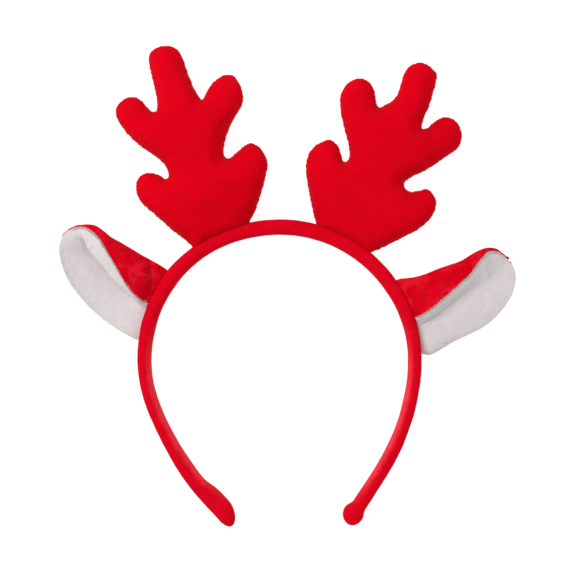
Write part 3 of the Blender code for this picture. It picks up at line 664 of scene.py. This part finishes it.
def pressed(places, band, reach=0.0):
    """Places held clear of the hoop, and those within reach of it drawn against it."""
    held = places.copy()
    for index, place in enumerate(places):
        near, normal, _, away = band.find_nearest(Vector(place), CONTACT_SEARCH)
        if near is None:
            continue
        height = (Vector(place) - near).dot(normal)
        if height < CONTACT:
            held[index] = near + normal * CONTACT
        elif reach and away < reach:
            pull = float(1.0 - smooth((away / reach - 0.35) / 0.65))
            held[index] = Vector(place).lerp(near + normal * CONTACT, pull)
    return held


def cover_middle(flat):
    """Height of an antler's side seam, which starts at the hoop's middle."""
    off = np.linalg.norm(flat - np.array(CROWN_CENTRE), axis=-1) - HOOP_FACE
    return mix(HOOP_MIDDLE, COVER_MIDDLE, smooth(off / COVER_RISE))


def panel_outline(pixels):
    """The cut edge of an antler's panel, with the foot carried on under the hoop's pile."""
    edge = photo_places(pixels, COVER_MIDDLE)
    edge = photo_places(pixels, cover_middle(edge))
    centre = np.array(CROWN_CENTRE)
    turns = np.arctan2(edge[:, 0] - centre[0], edge[:, 1] - centre[1])
    foot = np.linspace(turns[-1], turns[0], 12)
    radius = HOOP_FACE - FOOT_BITE
    foot = centre + radius * np.column_stack((np.sin(foot), np.cos(foot)))
    ring = evenly(spline(np.vstack((edge, foot)), 6, closed=True), COVER_SPACING)
    along = np.roll(ring, -1, 0) - np.roll(ring, 1, 0)
    outward = np.column_stack((-along[:, 1], along[:, 0]))
    outward /= np.linalg.norm(outward, axis=1)[:, None]
    return ring + outward * EDGE_ALLOWANCE


def inside(points, ring):
    """Which points lie inside a closed ring."""
    within = np.zeros(len(points), bool)
    for start, end in zip(ring, np.roll(ring, -1, 0)):
        crosses = (start[1] > points[:, 1]) != (end[1] > points[:, 1])
        rise = end[1] - start[1]
        at = start[0] + (points[:, 1] - start[1]) * (end[0] - start[0]) / (rise or 1e-12)
        within ^= crosses & (points[:, 0] < at)
    return within


def flat_panel(ring):
    """Points and triangles that fill a ring; the ring's own points come first."""
    low, high = ring.min(0), ring.max(0)
    rows = np.arange(low[1], high[1], COVER_SPACING * math.sqrt(0.75))
    grid = []
    for index, y in enumerate(rows):
        along = np.arange(low[0] + (index % 2) * COVER_SPACING / 2, high[0], COVER_SPACING)
        grid.append(np.column_stack((along, np.full(len(along), y))))
    grid = np.vstack(grid)
    grid = grid[inside(grid, ring)]
    tree = tree_of(ring)
    clear = [tree.find((*point, 0.0))[2] > 0.6 * COVER_SPACING for point in grid]
    points = [Vector(point) for point in np.vstack((ring, grid[clear]))]
    edges = [(index, (index + 1) % len(ring)) for index in range(len(ring))]
    made = geometry.delaunay_2d_cdt(points, edges, [], 1, 1e-7)
    return np.array([tuple(point) for point in made[0]]), [tuple(face) for face in made[2]]


def stuffing(points, faces, rim):
    """How far a stuffed panel stands off its seam plane: high where the cut is wide."""
    pairs = {(face[i], face[(i + 1) % 3]) for face in faces for i in range(3)}
    pairs |= {(second, first) for first, second in pairs}
    first, second = np.array(sorted(pairs)).T
    joins = np.bincount(first, minlength=len(points))
    free = np.ones(len(points))
    free[:rim] = 0.0
    level = np.zeros(len(points))
    for _ in range(SOLVING_STEPS):
        around = np.bincount(first, weights=level[second], minlength=len(points))
        level = free * (around / joins + 0.25 * COVER_SPACING ** 2)
    width = np.sqrt(2.0 * level)
    return width / (1.0 + (width / STUFFING_LIMIT) ** 2.5) ** 0.4


def sewn_cover(name, pixels):
    """Two panels sewn together and stuffed, and the points of their seam."""
    ring = panel_outline(pixels)
    flat, faces = flat_panel(ring)
    rim = len(ring)
    full = stuffing(flat, faces, rim)
    middle = cover_middle(flat)
    front = np.column_stack((flat, middle + FRONT_SHARE * full))
    back_height = middle - BACK_SHARE * full
    back_height = 0.5 * (back_height + np.sqrt(back_height ** 2 + REST_SOFTNESS ** 2))
    back = np.column_stack((flat, back_height))[rim:]
    under = np.concatenate((np.arange(rim), np.arange(len(flat), len(flat) + len(back))))
    faces += [tuple(int(under[index]) for index in reversed(face)) for face in faces]
    return mesh_from(name, np.vstack((front, back)), faces), front[:rim]


def stuffed(mesh, seam):
    """The cover blown up a little by its stuffing while its seam is held."""
    scene = bpy.context.scene
    rest = points_of(mesh)
    move_points(mesh, rest * SIM_SCALE)
    cover = bpy.data.objects.new("cover", mesh)
    scene.collection.objects.link(cover)
    held = cover.vertex_groups.new(name="held")
    tree = tree_of(seam)
    for index, place in enumerate(rest):
        away = tree.find(Vector(place))[2]
        held.add([index], float(np.exp(-(away / (1.6 * COVER_SPACING)) ** 2)), "REPLACE")
    cloth = cover.modifiers.new("stuffing", "CLOTH")
    cloth.settings.quality = 5
    cloth.settings.mass = 0.3
    cloth.settings.use_pressure = True
    cloth.settings.uniform_pressure_force = PRESSURE
    cloth.settings.shrink_min = COVER_SLACK
    cloth.settings.tension_stiffness = 25
    cloth.settings.compression_stiffness = 25
    cloth.settings.bending_stiffness = 2.0
    cloth.settings.vertex_group_mass = held.name
    cloth.settings.effector_weights.gravity = 0.0
    cloth.collision_settings.use_collision = False
    for step in range(1, SIM_FRAMES + 1):
        scene.frame_set(step)
    view = bpy.context.evaluated_depsgraph_get()
    blown = points_of(cover.evaluated_get(view).data) / SIM_SCALE
    scene.frame_set(1)
    bpy.data.objects.remove(cover, do_unlink=True)
    move = blown - rest
    length = np.linalg.norm(move, axis=1)
    move *= (np.minimum(length, STUFFING_CAP) / np.maximum(length, 1e-9))[:, None]
    move_points(mesh, rest + move)
    return mesh


def seam_relief(places, seam):
    """How far a cover stands in at its seam, with small puckers along it, in metres."""
    tree = tree_of(seam)
    steps = np.linalg.norm(np.diff(seam, axis=0), axis=1)
    lengths = np.concatenate(([0.0], np.cumsum(steps)))
    relief = np.zeros(len(places))
    for at, place in enumerate(places):
        _, index, away = tree.find(Vector(place))
        if away < 2.5 * PUCKER_REACH:
            wave = math.sin(2 * math.pi * lengths[index] / PUCKER_PERIOD)
            relief[at] = SEAM_DEPTH * math.exp(-(away / SEAM_WIDTH) ** 2)
            relief[at] += PUCKER_DEPTH * wave * math.exp(-(away / PUCKER_REACH) ** 2)
    return relief


def make_antler(name, node, pixels, tucks, material, band, seed):
    """A stuffed velour antler: two panels sewn round the edge and blown up by the stuffing."""
    mesh, seam = sewn_cover(name, pixels)
    mesh = worked(stuffed(mesh, seam), subdivided(1), ("SMOOTH", {"factor": 0.5, "iterations": 3}))
    places = points_of(mesh)
    upward = smooth((places[:, 2] - COVER_MIDDLE) / TUCK_RISE)
    relief = seam_relief(places, seam) + tucked(places, tucks) * upward
    relief -= lumpy(places, ANTLER_LUMPS, seed)
    places -= normals_of(mesh) * relief[:, None]
    places = pressed(places, band)
    places[:, 2] = np.maximum(places[:, 2], 0.0)
    move_points(mesh, places)
    piece = add_piece(name, mesh, material)
    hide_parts(node)


def make_band(name, node, material):
    """The padded hoop in its velour sleeve, sewn shut along its inner face."""
    mesh = worked(copy_of(node), subdivided(3))
    places = points_of(mesh)
    normals = normals_of(mesh)
    outward = places[:, :2] - np.array(CROWN_CENTRE)
    outward /= np.linalg.norm(outward, axis=1)[:, None]
    facing = np.einsum("ij,ij->i", outward, normals[:, :2])
    inner = smooth((-facing - 0.5) / 0.3)
    seam = np.exp(-((places[:, 2] - HOOP_MIDDLE) / HOOP_SEAM_WIDTH) ** 2) * inner
    turn = np.arctan2(outward[:, 0], outward[:, 1]) * HOOP_FACE
    ticks = 0.5 + 0.5 * np.sin(2 * math.pi * turn / HOOP_STITCH)
    crown = smooth((places[:, 1] + CROWN_FADE) / CROWN_FADE)
    filling = HOOP_FILL * (1.0 - CROWN_SLIMMER * crown)
    relief = HOOP_SEAM_DEPTH * seam * (0.6 + 0.4 * ticks) - filling
    relief -= lumpy(places, BAND_LUMPS, 3)
    places -= normals * relief[:, None]
    for shift in HOOP_SHIFTS:
        share = np.exp(-((places[:, 1] - shift.at * MM) / (shift.reach * MM)) ** 2)
        share *= smooth(np.abs(places[:, 0]) / SHIFT_CLEAR)
        outward_by = np.where(places[:, 0] < 0, -shift.left, shift.right)
        places[:, 0] += share * outward_by * MM
    places[:, 2] = np.maximum(places[:, 2], 0.0)
    move_points(mesh, places)
    piece = add_piece(name, mesh, material)
    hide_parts(node)
    return piece


def ear_grid(stations, rolled, open_way):
    """Rows of points from base to tip, each with x, y, height and level.

    A station's roll blends from the open way, which dips gently, to the rolled one.
    """
    rows = []
    for station in stations:
        edge_height = station.edge * MM
        crest, bowl = station.crest * MM, station.bowl * MM
        lines = {
            "top": photo_places((station.top_x, station.top_y), mix(bowl, crest, 0.42)),
            "seam": photo_places((station.seam_x, station.seam_y), crest),
            "valley": photo_places((station.valley_x, station.valley_y), mix(bowl, crest, 0.6)),
            "edge": photo_places((station.edge_x, station.edge_y), edge_height),
        }
        ways = []
        for across in (open_way, rolled):
            way = []
            for point in across:
                place = mix(lines[point.start], lines[point.end], point.way)
                height = mix(mix(bowl, crest, point.level), edge_height, point.lip)
                way.append((*place, max(height - point.under * MM, 0.0), point.level))
            ways.append(np.array(way))
        rows.append(spline(mix(*ways, station.roll), ACROSS_STEPS).ravel())
    grid = spline(rows, STATION_STEPS)
    return grid.reshape(len(grid), -1, 4)


def ear_layer(name, node, grid, thickness, material, folds, pile, seed, band):
    """One cloth layer of an ear: a sheet laid across the stations, folded and given its pile."""
    rows, columns = grid.shape[:2]
    places = grid[..., :3].reshape(-1, 3)
    flap = smooth((grid[..., 3].ravel() - 0.55) / 0.25)
    places[:, 2] -= tucked(places, folds) * flap
    places[:, 2] += WAVE_HEIGHT * swell(places * (1, 1, 0.2), WAVE_WIDTH, seed) * flap
    faces = []
    for row in range(rows - 1):
        for column in range(columns - 1):
            corner = row * columns + column
            faces.append((corner, corner + columns, corner + columns + 1, corner + 1))
    mesh = mesh_from(name, places, faces)
    side = 1.0 if outward_is_up(mesh, columns) else -1.0
    mesh = worked(mesh, ("SOLIDIFY", {"thickness": thickness, "offset": -side}), subdivided(1))
    places = points_of(mesh)
    places += normals_of(mesh) * (pile * swell(places, TUFT_WIDTH, seed + 5))[:, None]
    places = pressed(places, band, reach=EAR_REACH)
    move_points(mesh, places)
    piece = add_piece(name, mesh, material)
    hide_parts(node)


def outward_is_up(mesh, columns):
    """Whether the sheet's faces look up where it lies highest."""
    highest = max(mesh.polygons, key=lambda face: face.center.z)
    return highest.normal.z > 0


def make_fuzz(name, grid, material, seed):
    """Short white pile in small teeth along the seam, over the red cloth's edge."""
    rng = random.Random(seed)
    seam = grid[:, -1, :3]
    toward = seam - grid[:, -1 - ACROSS_STEPS, :3]
    lengths = np.concatenate(([0.0], np.cumsum(np.linalg.norm(np.diff(seam, axis=0), axis=1))))
    work = bmesh.new()
    for _ in range(FUZZ_PER_EAR):
        along = rng.uniform(2 * MM, lengths[-1] - TIP_CLEAR)
        wave = 2 * math.pi * along / TEETH_PERIOD + 1.5 * math.sin(along / MM)
        tooth = 0.5 + 0.5 * math.sin(wave)
        root = Vector([float(np.interp(along, lengths, seam[:, axis])) for axis in range(3)])
        over = Vector([float(np.interp(along, lengths, toward[:, axis])) for axis in range(3)])
        over.z = 0.0
        over.normalize()
        lean = Vector((rng.gauss(0, 0.25), rng.gauss(0, 0.25), rng.gauss(0, 0.12)))
        upward = (over * FUZZ_OVER + Vector((0, 0, FUZZ_RISE)) + lean).normalized()
        root -= over * rng.uniform(*FUZZ_SET_BACK) * MM
        root.z += FUZZ_LIFT
        length = mix(*FUZZ_LENGTH, tooth) * rng.uniform(0.8, 1.15) * MM
        side = Vector((-over.y, over.x, 0.0)) * FUZZ_HALF_WIDTH
        under = Vector((0, 0, FUZZ_HALF_WIDTH))
        base = [work.verts.new(place) for place in (root + side, root - side, root - under)]
        point = work.verts.new(root + upward * length)
        for index in range(3):
            work.faces.new((base[index], base[(index + 1) % 3], point))
        work.faces.new(reversed(base))
    bmesh.ops.recalc_face_normals(work, faces=work.faces)
    mesh = bpy.data.meshes.new(name)
    work.to_mesh(mesh)
    work.free()
    add_piece(name, mesh, material)
    mesh.shade_flat()


def make_floor():
    low, high = -FLOOR_REACH, FLOOR_REACH
    corners = [(low, low, 0.0), (high, low, 0.0), (high, high, 0.0), (low, high, 0.0)]
    mesh = mesh_from("floor", corners, [(0, 1, 2, 3)])
    floor = bpy.data.objects.new("floor", mesh)
    bpy.context.scene.collection.objects.link(floor)
    floor.location.z = -FLOOR_DROP
    finish = Finish("pale_floor")
    finish.set(Base_Color=FLOOR_GREY, Roughness=0.9, Emission_Color=(1.0, 1.0, 1.0),
               Emission_Strength=FLOOR_GLOW)
    mesh.materials.append(finish.material)


def add_light(lamp):
    data = bpy.data.lights.new(lamp.name, "AREA")
    data.shape = "DISK"
    data.size = lamp.width
    data.energy = lamp.power
    light = bpy.data.objects.new(lamp.name, data)
    bpy.context.scene.collection.objects.link(light)
    light.location = lamp.place
    toward = Vector(LAMP_TARGET) - Vector(lamp.place)
    light.rotation_euler = toward.to_track_quat("-Z", "Y").to_euler()


def light_studio():
    """The lamps and the pale room, shown without any tone curve."""
    world = bpy.data.worlds.new("studio")
    bpy.context.scene.world = world
    world.use_nodes = True
    background = world.node_tree.nodes["Background"]
    background.inputs["Color"].default_value = (1.0, 1.0, 1.0, 1.0)
    background.inputs["Strength"].default_value = ROOM_STRENGTH
    for lamp in LAMPS:
        add_light(lamp)
    bpy.context.scene.view_settings.view_transform = "Standard"
    bpy.context.scene.view_settings.look = "None"


def add_camera():
    data = bpy.data.cameras.new("camera")
    data.lens = LENS_MM
    data.sensor_width = SENSOR_MM
    data.clip_start = 0.05
    data.clip_end = 20.0
    camera = bpy.data.objects.new("camera", data)
    camera.location = (*camera_place(), CAMERA_HEIGHT)
    bpy.context.scene.collection.objects.link(camera)
    bpy.context.scene.camera = camera


def build():
    add_camera()
    light_studio()
    make_floor()
    antler_velour = velour("antler_velour", ANTLER_BRIGHT, ANTLER_DEEP, 0.10)
    band_velour = velour("band_velour", BAND_BRIGHT, BAND_DEEP, 0.30, inner_sheen=True)
    ear_velour = velour("ear_velour", EAR_BRIGHT, EAR_DEEP, 0.22, patched=True)
    white_plush = plush("ear_plush")
    white_tips = seam_fuzz("ear_seam_fuzz")
    sleeve = make_band("velour_band", "headband", band_velour)
    band = bvhtree.BVHTree.FromPolygons([vert.co for vert in sleeve.data.vertices],
                                        [tuple(face.vertices) for face in sleeve.data.polygons])
    make_antler("left_velour_antler", "left_antler", LEFT_ANTLER_OUTLINE, LEFT_ANTLER_TUCKS,
                antler_velour, band, 11)
    make_antler("right_velour_antler", "right_antler", RIGHT_ANTLER_OUTLINE, RIGHT_ANTLER_TUCKS,
                antler_velour, band, 23)
    for side, stations, folds, seed in (("left", LEFT_EAR, LEFT_EAR_FOLDS, 31),
                                        ("right", RIGHT_EAR, RIGHT_EAR_FOLDS, 47)):
        red_grid = ear_grid(stations[:-2] + stations[-1:], VELOUR, VELOUR)
        white_grid = ear_grid(stations, ROLLED_PLUSH, OPEN_PLUSH)
        ear_layer(side + "_ear_velour", side + "_ear_shell", red_grid, VELOUR_THICKNESS,
                  ear_velour, folds, VELOUR_PILE, seed, band)
        ear_layer(side + "_ear_plush", side + "_ear_lining", white_grid, PLUSH_THICKNESS,
                  white_plush, folds, PLUSH_PILE, seed, band)
        make_fuzz(side + "_ear_fuzz", white_grid, white_tips, seed)


build()
